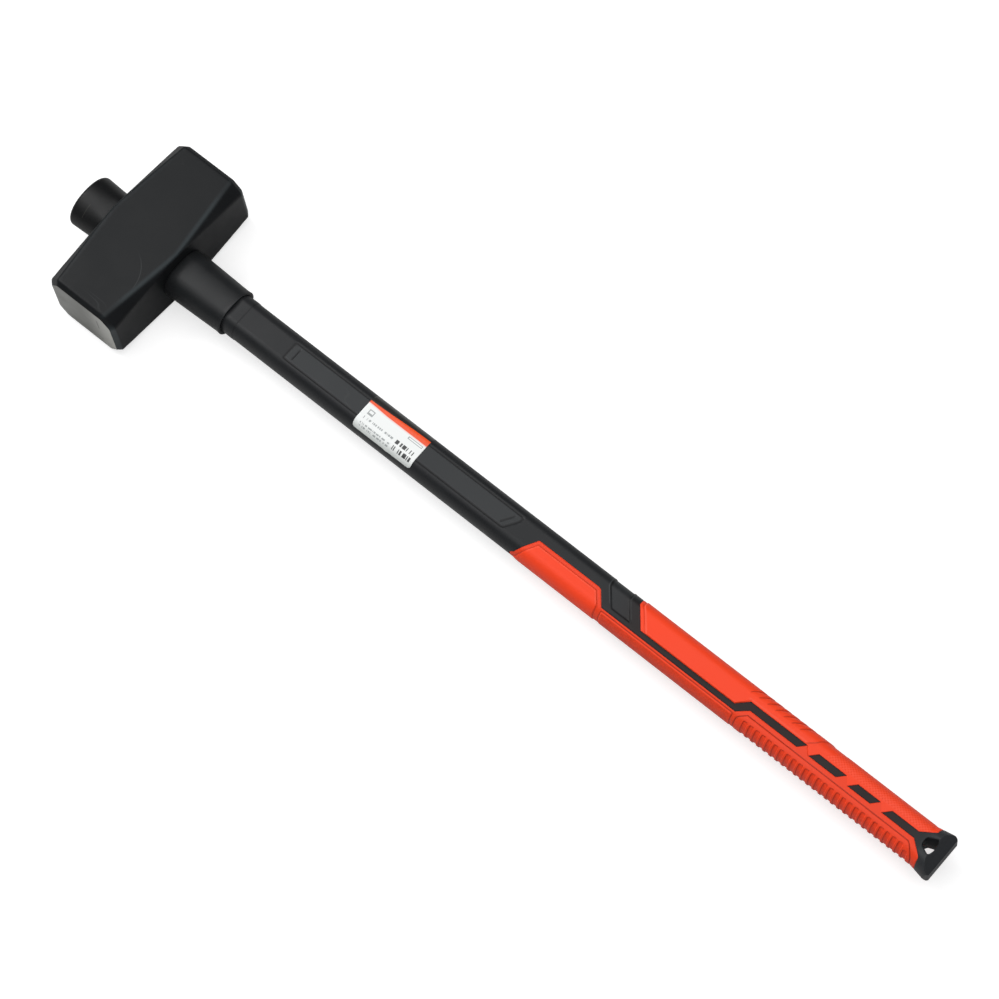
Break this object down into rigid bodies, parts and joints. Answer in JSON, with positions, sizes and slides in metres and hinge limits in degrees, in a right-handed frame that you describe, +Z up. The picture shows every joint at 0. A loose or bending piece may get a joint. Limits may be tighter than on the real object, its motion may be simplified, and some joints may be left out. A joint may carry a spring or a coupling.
{
  "type": "sledge hammer",
  "caption": "Long-handled double-faced sledge hammer: octagonal steel head, moulded handle with a two-tone soft grip, rubber neck sleeve and a hanging hole in the butt.",
  "frame": {"origin": "on the surface that the head lies on, straight below the middle of the eye, in the middle of the head's lower wide face", "axes": "+X along the handle from the head to the butt, +Y along the head from one striking face to the other, +Z up through the head's wide faces"},
  "size_m": [0.9025, 0.163, 0.064],
  "materials": {
    "forged_head": "satin black lacquer over forged steel, bare ground striking faces",
    "resin": "cast epoxy",
    "glass_fibre": "pultruded glass fibre, sawn end",
    "hard_jacket": "moulded black plastic, fine texture",
    "soft_grip": "orange soft moulded grip, satin",
    "sleeve_rubber": "moulded black rubber, satin",
    "label_film": "printed film label, white with a black band and an orange line"
  },
  "bodies": {
    "root": {"head": "forged_head", "eye_resin": "resin", "core_rod": "glass_fibre", "handle_jacket": "hard_jacket", "grip": "soft_grip", "neck_sleeve": "sleeve_rubber", "label": "label_film"}
  },
  "joints": []
}
